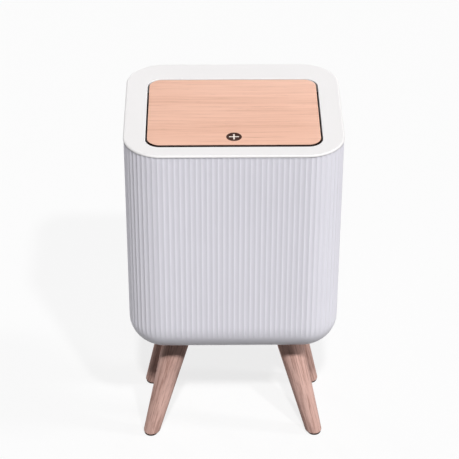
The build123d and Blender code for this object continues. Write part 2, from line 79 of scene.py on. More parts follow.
# Places across one flute, from its crest, that give the hollow its round section
FLUTE_PHASES = np.array((0.0, 0.05, 0.14, 0.26, 0.42, 0.58, 0.74, 0.86, 0.95))
CREST_FLAT = 0.07
BOTTOM_STEPS = 26
INSIDE_STEPS = 12
LEG_SIDES = 64
GRAIN_STEP = 3.7
FOOT_STEPS = 8
SHANK_STEPS = 6
COIL_SIDES = 28
# Direction along which no wire sets out
SKEW = (0.3, 0.5, 0.8)
# Direction that the grain of the legs is turned about them by
GRAIN_SIDE = (0.2, 1.0, 0.1)
BOARD_CORNER_STEPS = 14
BOARD_SIDE_STEPS = 10
BOARD_EDGE_STEPS = 3
# Length of one ridge of a thread, as a share of its radius
SCREW_RIDGE = 0.7
STUD_RIDGE = 0.4
# Section of a pan head, as shares of its radius and height
PAN_HEAD = ((0.96, 0.0), (1.0, 0.12), (1.0, 0.4), (0.93, 0.68), (0.78, 0.9), (0.62, 1.0))
# Cross recess: reach and half width as shares of the head's radius, and share of its height
CROSS_RECESS = ((0.5, 0.13, 1.0), (0.4, 0.1, 0.45), (0.2, 0.08, 0.3))


def mm(value):
    """Millimetres as metres."""
    return value * 0.001


def linear(red, green, blue):
    """Colour on the usual scale of 0 to 255 as the linear values that shaders take."""

    def level(channel):
        share = channel / 255
        return share / 12.92 if share <= 0.04045 else ((share + 0.055) / 1.055) ** 2.4

    return level(red), level(green), level(blue)


def length(name, description, value):
    """Property for a size in metres."""
    return FloatProperty(
        name=name, description=description, default=value, min=0.0, unit="LENGTH", precision=5
    )


def colour(name, description, red, green, blue):
    """Property for a colour."""
    return FloatVectorProperty(
        name=name,
        description=description,
        default=linear(red, green, blue),
        min=0.0,
        max=1.0,
        size=3,
        subtype="COLOR",
    )


def factor(name, description, value, high=1.0):
    """Property for a plain number from nought."""
    return FloatProperty(name=name, description=description, default=value, min=0.0, max=high)


def lamp_level(name, value):
    """Property for the light of one lamp."""
    return factor(name, "Light that falls square on a face turned to the lamp", value, 5.0)


def turn(name, description, value):
    """Property for an angle."""
    start = radians(value)
    return FloatProperty(name=name, description=description, default=start, subtype="ANGLE")


class BinSizes(bpy.types.PropertyGroup):
    """Sizes of the pieces that are modelled here."""

    crest_x: length("Half width", "Middle to the flutes' crests, across", TUB_HIGH.x)
    crest_y: length("Half depth", "Middle to the flutes' crests, front to back", TUB_HIGH.y)
    rim: length("Rim height", "Floor to the tub's rim", TUB_HIGH.z)
    underside: length("Leg height", "Floor to the tub's underside", TUB_LOW.z)
    corner_radius: length("Corner radius", "Corners of the tub's outline", mm(41.5))
    flute_pitch: length("Flute pitch", "Spacing that the flutes come near to", mm(5.85))
    flute_depth: length("Flute depth", "Crests to the bottoms of the flutes", mm(0.9))
    flute_stop: length("Plain band", "Between the tops of the flutes and the rim", mm(1.0))
    flute_fade: length("Flute fade", "Height over which the flutes' lower ends fade out", mm(14.0))
    flute_end: length("Flute end", "Tub's underside to the flutes' lower ends", mm(24.0))
    wall: length("Wall", "Tub's wall at the bottoms of the flutes", mm(1.9))
    tub_floor: length("Floor thickness", "Tub's floor", mm(3.0))
    rim_edge: length("Rim edge", "Bevel of the tub's rim", mm(0.3))
    bottom_radius: length("Bottom radius", "Rounding of the bottom edge, seen level", mm(35.0))
    front_drop: length("Front curve", "Height of the rounding at the front and back", mm(43.0))
    side_drop: length("Side curve", "Height of the rounding at the sides", mm(36.0))
    boss_radius: length("Boss radius", "Pads inside the tub, above the legs", mm(19.0))
    boss_rise: length("Boss height", "Pads above the tub's floor", mm(4.0))
    neck_radius: length("Neck radius", "Round the legs' bushes, on the pads", mm(7.0))
    neck_cap: length("Neck cap", "Plastic over a bush", mm(1.8))
    boss_edge: length("Boss edge", "Bevel of the pads and necks", mm(1.0))
    bush_radius: length("Bush radius", "Threaded bush above a leg", mm(4.0))
    bush_flange: length("Bush flange", "Radius of the bush's flange", mm(5.2))
    bush_seat: length("Bush seat", "Depth of the flange's seat", mm(0.9))
    bush_length: length("Bush length", "Threaded bush above a leg", mm(8.0))
    leg_top: length("Leg top radius", "Leg where it meets the tub", mm(16.6))
    leg_foot: length("Foot radius", "Leg at the floor", mm(9.5))
    foot_rounding: length("Foot rounding", "Rounded lower edge of a leg", mm(3.0))
    pad_height: length("Pad height", "Foot pad below the wood", mm(1.8))
    pad_radius: length("Pad radius", "Foot pad", mm(8.0))
    pad_edge: length("Pad edge", "Rounding of a foot pad and bevel of its spigot", mm(0.6))
    pad_spigot: length("Pad spigot radius", "Foot pad's spigot in the leg", mm(2.4))
    spigot_radius: length("Spigot radius", "Turned end of a leg", mm(14.5))
    spigot_flat: length("Spigot flat", "Flat on the turned end, from its middle", mm(11.5))
    spigot_length: length("Spigot length", "Turned end of a leg", mm(3.0))
    washer_radius: length("Washer radius", "Sealing washer on a leg's end", mm(8.0))
    washer_seat: length("Washer seat", "Depth of the washer's seat in the leg", mm(1.1))
    leg_screw: length("Leg screw radius", "Thread of a leg's screw", mm(3.0))
    leg_bore: length("Leg bore", "Depth of the screw's hole in the leg", mm(16.1))
    spigot_bore: length("Spigot bore", "Depth of the foot pad's hole in the leg", mm(9.9))
    fit: length("Fit", "Play between pieces that are let into one another", mm(0.1))
    close_fit: length("Close fit", "Play round screws and spigots", mm(0.05))
    small_screw: length("Small screw radius", "Thread of the lid's and latch's screws", mm(1.5))
    coil_wire: length("Hinge spring wire", "Radius of the wire", mm(0.5))
    coil_radius: length("Hinge spring radius", "Pin's axis to the wire's middle", mm(2.7))
    coil_turns: factor("Hinge spring turns", "Turns round the pin", 4.25, 20.0)
    coil_pitch: length("Hinge spring pitch", "Between one turn and the next", mm(1.25))
    hook_reach: length("Hook reach", "First turn to the hook's end", mm(4.3))
    hook_bend: length("Hook bend", "Radius of the bend to the hook", mm(1.0))
    hook_shift: length("Hook shift", "Keeps the hook clear when the lid is pressed", mm(0.12))
    latch_wire: length("Latch spring wire", "Radius of the wire", mm(0.35))
    latch_turns: factor("Latch spring turns", "Open turns between the closed ends", 6.0, 20.0)
    latch_keep: factor("Latch spring, pressed", "Share of its height that it keeps", 0.856)
    small_head: length("Small screw head", "Radius of the lid's and latch's screw heads", mm(2.8))
    small_head_height: length("Small head height", "Lid's and latch's screw heads", mm(1.6))
    board_corner: length("Board corner", "Corners of the lid's sheet", mm(14.1))
    board_edge: length("Board edge", "Rounding of the sheet's upper edge", mm(0.2))
    mark_rim: length("Mark rim", "Width of the press mark's rim", mm(1.7))
    mark_sink: length("Mark sink", "Rim's top to the mark's face", mm(0.2))
    mark_edge: length("Mark edge", "Bevel of the rim and the cross", mm(0.12))
    mark_bar: length("Mark bar", "Width of the cross on the press mark", mm(1.8))
    mark_reach: length("Mark reach", "Middle to the ends of the cross", mm(5.4))


class BinColours(bpy.types.PropertyGroup):
    """Colours of the finishes."""

    # Tub's colour: the same moulded white as the cover, with a lavender tint that is painted shade,
    # the cool cast of the shaded front put into the colour of the whole tub
    tub: colour("Tub", "Moulded white of the tub", 244, 242, 251)
    cover: colour("Cover", "Moulded white of the cover", 242, 240, 240)
    board_light: colour("Board, light", "Light wood of the lid's sheet", 244, 197, 175)
    board_dark: colour("Board, dark", "Grain lines of the lid's sheet", 208, 153, 127)
    leg_light: colour("Leg, light", "Light wood of the legs", 230, 190, 178)
    leg_dark: colour("Leg, dark", "Grain lines of the legs", 144, 100, 87)
    # Brown of the lid's plastic, darkened towards black as painted shade, so that the lid's edge in
    # the narrow gap round it reads dark
    tray: colour("Tray", "Brown plastic of the lid's panel and tray", 38, 23, 16)
    mark: colour("Mark", "Press mark's dark disc", 58, 28, 17)
    mark_light: colour("Mark, light", "Press mark's cross", 236, 224, 214)
    rubber: colour("Rubber", "Foot pads", 60, 46, 40)
    grey: colour("Grey plastic", "Latch", 150, 150, 152)
    steel: colour("Steel", "Screws and plate", 196, 196, 198)
    spring: colour("Spring steel", "Springs", 168, 168, 172)
    blackened: colour("Blackened steel", "Hinge pin and its clips", 52, 46, 44)
    brass: colour("Brass", "Threaded bushes", 214, 178, 104)


class BinStage(bpy.types.PropertyGroup):
    """Lights, floor and camera."""

    front_light: lamp_level("Front light", 0.64)
    key_light: lamp_level("Key light", 0.34)
    side_light: lamp_level("Side light", 0.336)
    left_light: lamp_level("Left light", 0.02)
    back_light: lamp_level("Back light", 0.3)
    rear_left_light: lamp_level("Rear left light", 0.3)
    ambient: factor("Ambient", "Even light from all round", 0.03, 5.0)
    floor_glow: factor("Floor glow", "Share of the floor's white that shadows don't reach", 0.8)
    floor_white: factor("Floor white", "Level of the floor's white", 0.97)
    floor_bounce: factor("Floor bounce", "Share of light that the floor sends up to the bin", 0.12)
    camera_lens: factor("Lens", "Focal length in millimetres", 144.61, 1000.0)
    camera_distance: length("Camera distance", "Camera to the point that it looks at", 2.131)
    camera_azimuth: turn("Camera azimuth", "Camera's place round the bin", -0.73)
    camera_rise: turn("Camera rise", "Camera's angle above the floor", 34.594)
    camera_roll: turn("Camera roll", "Camera's turn about its line of sight", -0.148)


# ---------------------------------------------------------------- shader nodes
class Value:
    """Number socket of a node tree: Python's operators add the Math nodes."""

    def __init__(self, finish, socket):
        self.finish = finish
        self.socket = socket

    def math(self, operation, *others, clamp=False):
        """Math node with this number as its first input."""
        settings = {"operation": operation, "use_clamp": clamp}
        inputs = dict(enumerate((self, *others)))
        return self.finish.value("Math", settings, inputs)

    def __add__(self, other):
        return self.math("ADD", other)

    __radd__ = __add__

    def __sub__(self, other):
        return self.math("SUBTRACT", other)

    def __rsub__(self, other):
        return self.finish.value("Math", {"operation": "SUBTRACT"}, {0: other, 1: self})

    def __mul__(self, other):
        return self.math("MULTIPLY", other)

    __rmul__ = __mul__

    def clamp(self):
        """Kept between 0 and 1."""
        return self.math("ADD", 0.0, clamp=True)

    def over(self, low, high):
        """0 below low, 1 above high and a smooth rise between."""
        inputs = {"Value": self, "From Min": low, "From Max": high}
        return self.finish.value("MapRange", {"interpolation_type": "SMOOTHSTEP"}, inputs)


class Finish:
    """Material or world, with one method that adds any node: its settings, then its inputs."""

    def __init__(self, name, kind="materials"):
        self.owner = getattr(bpy.data, kind).new(name)
        self.owner.use_nodes = True
        self.tree = self.owner.node_tree
        self.tree.nodes.clear()

    def node(self, kind, settings=None, inputs=None):
        node = self.tree.nodes.new("ShaderNode" + kind)
        for key, value in (settings or {}).items():
            setattr(node, key, value)
        for key, value in (inputs or {}).items():
            socket = node.inputs[key]
            source = getattr(value, "socket", value)
            if isinstance(source, bpy.types.NodeSocket):
                self.tree.links.new(source, socket)
            elif socket.type == "RGBA" and len(source) == 3:
                socket.default_value = (*source, 1.0)
            else:
                socket.default_value = source
        return node

    def value(self, kind, settings=None, inputs=None, output=0):
        """One output of a new node, as a number to go on with."""
        return Value(self, self.node(kind, settings, inputs).outputs[output])

    def place(self):
        """Place on the piece, in metres."""
        return self.node("TexCoord").outputs["Object"]

    def stretch(self, place, scale):
        """Place scaled along each axis."""
        return self.node("VectorMath", {"operation": "MULTIPLY"}, {0: place, 1: scale}).outputs[0]

    def noise(self, place, scale, detail=2.0, roughness=0.5, distortion=0.0):
        """Noise with one scale, or with one for each axis."""
        if isinstance(scale, tuple):
            place = self.stretch(place, scale)
            scale = 1.0
        inputs = {
            "Vector": place,
            "Scale": scale,
            "Detail": detail,
            "Roughness": roughness,
            "Distortion": distortion,
        }
        return self.value("TexNoise", None, inputs)

    def mix(self, share, first, second):
        """Colour between two colours."""
        inputs = {0: share, 6: first, 7: second}
        return self.node("Mix", {"data_type": "RGBA"}, inputs).outputs[2]

    def bump(self, height, distance, strength):
        """Normal of a relief whose full height is this distance."""
        inputs = {"Height": height, "Distance": distance, "Strength": strength}
        return self.node("Bump", None, inputs).outputs[0]

    def level(self, place):
        """Height above the floor."""
        return self.value("SeparateXYZ", None, {"Vector": place}, "Z")

    def shown(self):
        """1 for rays from the camera, a mirror or through glass, which see white; else 0."""
        path = self.node("LightPath")
        seen = Value(self, path.outputs["Is Camera Ray"])
        mirrored = Value(self, path.outputs["Is Glossy Ray"])
        through = Value(self, path.outputs["Is Transmission Ray"])
        return (seen + mirrored + through).clamp()

    def choose(self, share, first, second, output="OutputMaterial"):
        """Ends the tree in a mix of two shaders and returns it."""
        choice = self.node("MixShader", None, {0: share, 1: first.outputs[0], 2: second.outputs[0]})
        self.node(output, None, {"Surface": choice.outputs[0]})
        return self.owner

    def surface(self, **inputs):
        """Principled surface, whose inputs are named as its sockets are, with _ for a space."""
        named = {key.replace("_", " "): value for key, value in inputs.items()}
        shader = self.node("BsdfPrincipled", None, named)
        self.node("OutputMaterial", None, {"Surface": shader.outputs[0]})
        return self.owner


def toned(tint, share):
    """Colour made darker or lighter."""
    return tuple(min(1.0, share * channel) for channel in tint)


# ---------------------------------------------------------------- meshes
class Shell:
    """Mesh in the making: rings of points and the faces between them."""

    def __init__(self):
        self.mesh = bmesh.new()

    def ring(self, points):
        """Points of one ring, in order."""
        return [self.mesh.verts.new(point) for point in points]

    def bridge(self, first, second):
        """Faces between two rings that have as many points."""
        count = len(first)
        for i in range(count):
            j = (i + 1) % count
            self.mesh.faces.new((first[i], first[j], second[j], second[i]))

    def skin(self, rings):
        """Rings with faces from each to the next."""
        made = [self.ring(points) for points in rings]
        for first, second in zip(made, made[1:]):
            self.bridge(first, second)
        return made

    def closed(self, rings):
        """Rings with faces between them and over both ends."""
        made = self.skin(rings)
        self.cap(made[0])
        self.cap(made[-1])

    def cap(self, ring):
        """One face over a ring."""
        self.mesh.faces.new(ring)

    def move(self, place, first=0):
        """Moves the points from the first one on."""
        self.mesh.verts.ensure_lookup_table()
        bmesh.ops.transform(self.mesh, matrix=place, verts=self.mesh.verts[first:])

    def fill(self, *loops):
        """Flat face between an outer loop and the loops inside it."""
        made = self.mesh.edges
        edges = []
        for loop in loops:
            for pair in zip(loop, loop[1:] + loop[:1]):
                edges.append(made.get(pair) or made.new(pair))
        bmesh.ops.triangle_fill(self.mesh, edges=edges, use_beauty=True, use_dissolve=False)

    def done(self, name, sharp=32.0):
        """Object with smooth shading, except across edges sharper than that many degrees."""
        bmesh.ops.recalc_face_normals(self.mesh, faces=self.mesh.faces)
        data = bpy.data.meshes.new(name)
        self.mesh.to_mesh(data)
        self.mesh.free()
        data.shade_smooth()
        data.set_sharp_from_angle(angle=radians(sharp))
        thing = bpy.data.objects.new(name, data)
        bpy.context.scene.collection.objects.link(thing)
        return thing


def rounded_walk(half_x, half_y, radius, places):
    """Points and outward directions at distances round a rounded rectangle, from its front."""
    runs = [2 * (half_x - radius), 2 * (half_y - radius)] * 2
    quarter = pi * radius / 2
    whole = sum(runs) + 4 * quarter
    points = []
    outward = []
    for place in places:
        left = (place + runs[0] / 2) % whole
        at = Vector((radius - half_x, -half_y))
        for side, run in enumerate(runs):
            heading = side * pi / 2
            ahead = Vector((cos(heading), sin(heading)))
            out = Vector((sin(heading), -cos(heading)))
            if left <= run:
                at = at + ahead * left
                break
            left -= run
            at = at + ahead * run
            centre = at - out * radius
            swing = heading + min(left / radius, pi / 2)
            out = Vector((sin(swing), -cos(swing)))
            at = centre + out * radius
            if left <= quarter:
                break
            left -= quarter
        points.append(at)
        outward.append(out)
    return np.array(points), np.array(outward)


def perimeter(half_x, half_y, radius):
    """Length round a rounded rectangle."""
    return 4 * (half_x + half_y) - (8 - 2 * pi) * radius


def rounded_outline(half_x, half_y, radius, corner_steps, side_steps):
    """Points and outward directions round a rounded rectangle, in even steps on each run."""
    places = []
    start = radius - half_x
    quarter = pi * radius / 2
    for run in [2 * (half_x - radius), 2 * (half_y - radius)] * 2:
        for stretch, steps in ((run, side_steps), (quarter, corner_steps)):
            places += [start + stretch * i / steps for i in range(steps)]
            start += stretch
    return rounded_walk(half_x, half_y, radius, places)


def level_ring(outline, inset, z, middle=(0.0, 0.0)):
    """Outline moved inwards and set at a level; both may vary round it."""
    points, outward = outline
    inset = np.broadcast_to(np.asarray(inset, float), len(points))
    flat = points - outward * inset[:, None] + np.asarray(middle)
    return np.column_stack([flat, np.broadcast_to(z, len(flat))])


def circle(radius, z, x=0.0, y=0.0, count=48):
    """Level ring of points."""
    angles = 2 * pi * np.arange(count) / count
    around = (x + radius * np.cos(angles), y + radius * np.sin(angles), np.full(count, z))
    return np.column_stack(around)


def turned(profile, count=32):
    """Level rings round Z from (radius, height) pairs."""
    return [circle(radius, z, count=count) for radius, z in profile]


def rounding(steps):
    """Shares of a radius, inwards and on, at even steps round a quarter turn."""
    angles = [pi / 2 * i / steps for i in range(steps + 1)]
    return [(1 - cos(angle), 1 - sin(angle)) for angle in angles]


def middle_of(low, high):
    """Middle of a box, across and front to back."""
    return (low.x + high.x) / 2, (low.y + high.y) / 2


def clipped_circle(radius, flat, side, z, x, y, count=48):
    """Level ring with one flat, which faces away from side."""
    ring = circle(radius, z, count=count)
    ring[:, 0] = side * np.maximum(side * ring[:, 0], -flat)
    return ring + np.array([x, y, 0.0])


def wire(name, path, radius, count=10):
    """Round wire along a line of points."""
    path = np.asarray(path, float)
    ahead = np.gradient(path, axis=0)
    ahead /= np.linalg.norm(ahead, axis=1)[:, None]
    side = np.cross(ahead[0], SKEW)
    rings = []
    angles = 2 * pi * np.arange(count) / count
    for point, direction in zip(path, ahead):
        side = side - direction * (side @ direction)
        side /= np.linalg.norm(side)
        spokes = np.outer(np.cos(angles), side)
        spokes += np.outer(np.sin(angles), np.cross(direction, side))
        rings.append(point + radius * spokes)
    shell = Shell()
    shell.closed(rings)
    return shell.done(name, sharp=60.0)


def coil(x, y, z, radius, along, turns):
    """Points of a helix about a line along X, which rises from +Y towards +Z."""
    angles = 2 * pi * np.linspace(0.0, turns, int(turns * COIL_SIDES) + 1)
    across = x + along * np.linspace(0.0, 1.0, len(angles))
    return np.column_stack([across, y + radius * np.cos(angles), z + radius * np.sin(angles)])


def bend(corner, before, after, radius, steps=6):
    """Points of a round bend at a square corner, from the way into it to the way out."""
    corner, before, after = (np.array(item, float) for item in (corner, before, after))
    middle = corner - before * radius + after * radius
    angles = np.linspace(0.0, pi / 2, steps + 1)
    return middle + radius * (np.outer(np.sin(angles), before) - np.outer(np.cos(angles), after))


def cross_ring(reach, half, z):
    """Outline of a screw's cross recess."""
    arm = [(reach, -half), (reach, half), (half, half)]
    points = []
    for turns in range(4):
        spin = Matrix.Rotation(turns * pi / 2, 2)
        points += [(*(spin @ Vector(point)), z) for point in arm]
    return points


def add_screw(shell, place, radius, length, head, height):
    """Pan-head screw with a cross recess and a ridged shank; its head's seat is at the place."""
    core = 0.8 * radius
    point = 0.5 * radius
    profile = []
    ridges = int(length / radius / SCREW_RIDGE)
    for i in range(ridges):
        low = -length + length * i / ridges
        profile.append((core if i else point, low))
        profile.append((radius, low + 0.5 * length / ridges))
    profile.append((core, 0.0))
    profile += [(head * across, height * rise) for across, rise in PAN_HEAD]
    before = len(shell.mesh.verts)
    made = shell.skin(turned(profile))
    shell.cap(made[0])
    recess = shell.skin(
        [cross_ring(head * reach, head * half, height * rise) for reach, half, rise in CROSS_RECESS]
    )
    shell.fill(made[-1], recess[0])
    shell.cap(recess[-1])
    shell.move(place, before)


def add_stud(shell, place, radius, half):
    """Ridged rod, bevelled at both ends, about the middle of its length."""
    ridges = int(2 * half / radius / STUD_RIDGE)
    core = 0.84 * radius
    end = 0.6 * radius
    profile = [(end, -half)]
    for i in range(1, ridges):
        profile.append((radius if i % 2 else core, -half + 2 * half * i / ridges))
    profile.append((end, half))
    before = len(shell.mesh.verts)
    shell.closed(turned(profile))
    shell.move(place, before)


def fit_piece(thing, material, body, slot, *nodes):
    """Gives a piece its finish, the body that it moves with and the nodes that it stands for."""
    thing.data.materials.append(material)
    if body:
        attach(thing, body)
    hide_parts(*nodes)


def dress(node, material):
    """Gives a carried-over node its finish."""
    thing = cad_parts[node]
    if not thing.material_slots:
        thing.data.materials.append(material)
    for holder in thing.material_slots:
        holder.material = material


# ---------------------------------------------------------------- finishes
def moulded(name, tint, roughness, shine=0.45):
    """Moulded plastic: faint flow marks, a fine spark-eroded grain and slightly uneven gloss."""
    finish = Finish(name)
    place = finish.place()
    flow = finish.noise(place, scale=9.0, detail=3.0, roughness=0.55)
    pits = finish.noise(place, scale=2600.0, detail=2.0, roughness=0.6)
    shade = finish.mix(flow.over(0.3, 0.7) * 0.5, tint, toned(tint, 0.965))
    gloss = flow * 0.08 + pits * 0.06 + (roughness - 0.07)
    return finish.surface(
        Base_Color=shade,
        Roughness=gloss,
        Normal=finish.bump(pits, distance=mm(0.02), strength=0.35),
        Specular_IOR_Level=shine,
    )


def board_film(name, light, dark, edge, level):
    """Matt wood film with grain along X and pores; its cut edge, below the level, is near-black
    brown, partly the brown under the film and partly painted shade of the narrow gap round the lid.
    """
    finish = Finish(name)
    place = finish.place()
    sway = finish.noise(place, scale=(14.0, 30.0, 1.0), detail=2.0)
    lean = finish.node("CombineXYZ", None, {"Y": (sway - 0.5) * mm(4.0)}).outputs[0]
    bent = finish.node("VectorMath", {"operation": "ADD"}, {0: place, 1: lean}).outputs[0]
    bands = finish.noise(bent, scale=(5.0, 75.0, 1.0), detail=3.0, roughness=0.6)
    lines = finish.noise(bent, scale=(9.0, 520.0, 1.0), detail=4.0, roughness=0.65)
    pores = finish.noise(bent, scale=(55.0, 1500.0, 1.0), detail=2.0, roughness=0.5)
    tone = (bands.over(0.35, 0.68) * 0.22 + lines.over(0.45, 0.72) * 0.4).clamp()
    shade = finish.mix(tone, light, dark)
    pore = pores.over(0.6, 0.7) * lines.over(0.4, 0.6)
    shade = finish.mix(pore * 0.35, shade, toned(dark, 0.6))
    soft = mm(0.04)
    # Cut edge below the level: near-black brown, partly the brown under the film and partly painted
    # shade of the gap round the lid
    shade = finish.mix(finish.level(place).over(level - soft, level + soft), edge, shade)
    relief = 1.0 - pore * 0.8 - lines * 0.3
    return finish.surface(
        Base_Color=shade,
        Roughness=0.5 + lines * 0.12,
        Normal=finish.bump(relief, distance=mm(0.06), strength=0.5),
        Specular_IOR_Level=0.12,
    )


def leg_wood(name, light, dark, low, high, seed):
    """Oiled wood whose grain runs from the low end to the high end of a leg."""
    finish = Finish(name)
    place = finish.place()
    along = (Vector(high) - Vector(low)).normalized()
    across = along.cross(Vector(GRAIN_SIDE)).normalized()
    third = along.cross(across)
    turned = {}
    for key, axis, scale in (("X", across, 460.0), ("Y", third, 460.0), ("Z", along, 6.0)):
        dot = finish.value("VectorMath", {"operation": "DOT_PRODUCT"}, {0: place, 1: axis}, "Value")
        turned[key] = dot * scale + seed
    grain = finish.node("CombineXYZ", None, turned).outputs[0]
    rings = finish.noise(grain, scale=0.22, detail=2.0, roughness=0.5, distortion=0.6)
    lines = finish.noise(grain, scale=1.0, detail=4.0, roughness=0.62)
    pores = finish.noise(grain, scale=(4.0, 4.0, 6.0), detail=1.0)
    tone = (rings.over(0.42, 0.62) * 0.14 + lines.over(0.44, 0.64) * 0.5).clamp()
    shade = finish.mix(tone, light, dark)
    pore = pores.over(0.62, 0.7)
    shade = finish.mix(pore * 0.3, shade, toned(dark, 0.55))
    relief = 1.0 - pore * 0.7 - lines * 0.4
    return finish.surface(
        Base_Color=shade,
        Roughness=0.55 + lines * 0.16,
        Normal=finish.bump(relief, distance=mm(0.1), strength=0.5),
        Specular_IOR_Level=0.12,
    )


def metal(name, tint, roughness):
    """Metal with fine drawing marks and uneven gloss."""
    finish = Finish(name)
    place = finish.place()
    marks = finish.noise(place, scale=(900.0, 900.0, 60.0), detail=3.0, roughness=0.6)
    cloud = finish.noise(place, scale=120.0, detail=2.0)
    shade = finish.mix(cloud.over(0.35, 0.75) * 0.35, tint, toned(tint, 0.72))
    return finish.surface(
        Base_Color=shade,
        Metallic=1.0,
        Roughness=marks * 0.16 + cloud * 0.08 + (roughness - 0.1),
        Normal=finish.bump(marks, distance=mm(0.02), strength=0.3),
    )


def rubber_finish(name, tint):
    """Matt rubber with a fine grain and dusty bloom."""
    finish = Finish(name)
    place = finish.place()
    grain = finish.noise(place, scale=2200.0, detail=2.0, roughness=0.6)
    bloom = finish.noise(place, scale=60.0, detail=3.0, roughness=0.6)
    shade = finish.mix(bloom.over(0.45, 0.8) * 0.3, tint, toned(tint, 1.8))
    return finish.surface(
        Base_Color=shade,
        Roughness=0.72 + bloom * 0.15,
        Normal=finish.bump(grain, distance=mm(0.04), strength=0.4),
        Specular_IOR_Level=0.3,
    )


def mark_print(name, dark, light, middle, reach, level):
    """Dark plastic whose raised cross is light."""
    finish = Finish(name)
    place = finish.place()
    flat = finish.stretch(place, (1.0, 1.0, 0.0))
    away = finish.value("VectorMath", {"operation": "DISTANCE"}, {0: flat, 1: middle}, "Value")
    grain = finish.noise(place, scale=1500.0, detail=2.0)
    soft = mm(0.03)
    raised = finish.level(place).over(level - soft, level + soft)
    cross = raised * (1.0 - away.over(reach, reach + soft))
    return finish.surface(
        Base_Color=finish.mix(cross, dark, light),
        Roughness=0.4 + grain * 0.12,
        Normal=finish.bump(grain, distance=mm(0.02), strength=0.3),
        Specular_IOR_Level=0.1,
    )


FINISHES = {}


def finish_for(key, make, *arguments, **levels):
    """Each finish is made once and shared."""
    if key not in FINISHES:
        FINISHES[key] = make(key, *arguments, **levels)
    return FINISHES[key]


# ---------------------------------------------------------------- operators
class BIN_OT_tub(bpy.types.Operator):
    """Fluted tub with its rounded bottom, smooth inside and pads above the legs"""

    bl_idname = "bin.tub"
    bl_label = "Tub"

    def execute(self, context):
        sizes = context.scene.bin_sizes
        outline, flutes = self.fluted_outline(sizes)
        shell = Shell()
        made = shell.skin(self.outside(sizes, outline, flutes) + self.inside(sizes, outline))
        low_loops = []
        high_loops = []
        for name, (side, _) in CORNERS.items():
            place = leg_place(context, name)
            below = shell.skin(self.recess(sizes, side, *place))
            shell.cap(below[-1])
            low_loops.append(below[0])
            above = shell.skin(self.boss(sizes, *place))
            shell.cap(above[0])
            high_loops.append(above[-1])
        shell.fill(made[0], *low_loops)
        shell.fill(made[-1], *high_loops)
        tub = shell.done("fluted_tub", sharp=40.0)
        # The tub's white carries a lavender tint of painted shade
        white = finish_for("tub_white", moulded, context.scene.bin_colours.tub, roughness=0.42)
        fit_piece(tub, white, "bin", "white_plastic", "ribbed_body")
        return {"FINISHED"}

    def fluted_outline(self, sizes):
        """Points round the crests, and how far each flute lies inside them there."""
        box = (sizes.crest_x, sizes.crest_y, sizes.corner_radius)
        around = perimeter(*box)
        count = 4 * round(around / sizes.flute_pitch / 4)
        hollow = 4 * FLUTE_PHASES * (1 - FLUTE_PHASES)
        hollow[0] = CREST_FLAT
        places = (np.arange(count)[:, None] + FLUTE_PHASES[None, :]) * around / count
        return rounded_walk(*box, places.ravel()), np.tile(hollow * sizes.flute_depth, count)

    def outside(self, sizes, outline, flutes):
        """Rings from the underside up to the rim."""
        top = sizes.rim - sizes.flute_stop
        facing = outline[1][:, 1] ** 2
        drop = sizes.side_drop + (sizes.front_drop - sizes.side_drop) * facing
        start = sizes.underside + drop
        rings = []
        for inward, on in reversed(rounding(BOTTOM_STEPS)):
            rise = drop * on
            share = np.clip((rise - sizes.flute_end) / sizes.flute_fade, 0.0, 1.0)
            fade = share * share * (3 - 2 * share)
            inset = flutes * fade + sizes.bottom_radius * inward
            rings.append(level_ring(outline, inset, sizes.underside + rise))
        for share in (0.33, 0.67, 1.0):
            rings.append(level_ring(outline, flutes, start + (top - start) * share))
        band = sizes.flute_depth / 2
        rings.append(level_ring(outline, band, top))
        rings.append(level_ring(outline, band, sizes.rim - sizes.rim_edge))
        rings.append(level_ring(outline, band + sizes.rim_edge, sizes.rim))
        return rings

    def inside(self, sizes, outline):
        """Rings from the rim down to the floor of the tub."""
        wall = sizes.flute_depth + sizes.wall
        rings = [
            level_ring(outline, wall - sizes.rim_edge, sizes.rim),
            level_ring(outline, wall, sizes.rim - sizes.rim_edge),
        ]
        radius = sizes.bottom_radius - wall
        floor = sizes.underside + sizes.tub_floor
        for inward, on in rounding(INSIDE_STEPS):
            rings.append(level_ring(outline, wall + radius * inward, floor + radius * on))
        return rings

    def recess(self, sizes, side, x, y):
        """Rings from the underside up a leg's seat to the end of its bush's hole."""
        seat = (sizes.spigot_radius + sizes.fit, sizes.spigot_flat + sizes.fit, side)
        roof = sizes.underside + sizes.spigot_length + sizes.fit
        step = roof + sizes.bush_seat
        flange = sizes.bush_flange + sizes.fit
        bush = sizes.bush_radius + sizes.fit
        return [
            clipped_circle(*seat, sizes.underside, x, y),
            clipped_circle(*seat, roof, x, y),
            circle(flange, roof, x, y),
            circle(flange, step, x, y),
            circle(bush, step, x, y),
            circle(bush, roof + sizes.bush_length + sizes.fit, x, y),
        ]

    def boss(self, sizes, x, y):
        """Rings from the cap over a leg's bush down to the floor of the tub."""
        floor = sizes.underside + sizes.tub_floor
        roof = sizes.underside + sizes.spigot_length + sizes.fit
        cap = roof + sizes.bush_length + sizes.fit + sizes.neck_cap
        top = floor + sizes.boss_rise
        edge = sizes.boss_edge
        return [
            circle(sizes.neck_radius - edge, cap, x, y),
            circle(sizes.neck_radius, cap - edge, x, y),
            circle(sizes.neck_radius, top, x, y),
            circle(sizes.boss_radius - edge, top, x, y),
            circle(sizes.boss_radius, top - edge, x, y),
            circle(sizes.boss_radius, floor, x, y),
        ]


def leg_place(context, name):
    """Middle of a leg's top, across and front to back."""
    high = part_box("leg_screws")[1]
    radius = context.scene.bin_sizes.leg_screw
    side, end = CORNERS[name]
    return side * (high.x - radius), end * (high.y - radius)


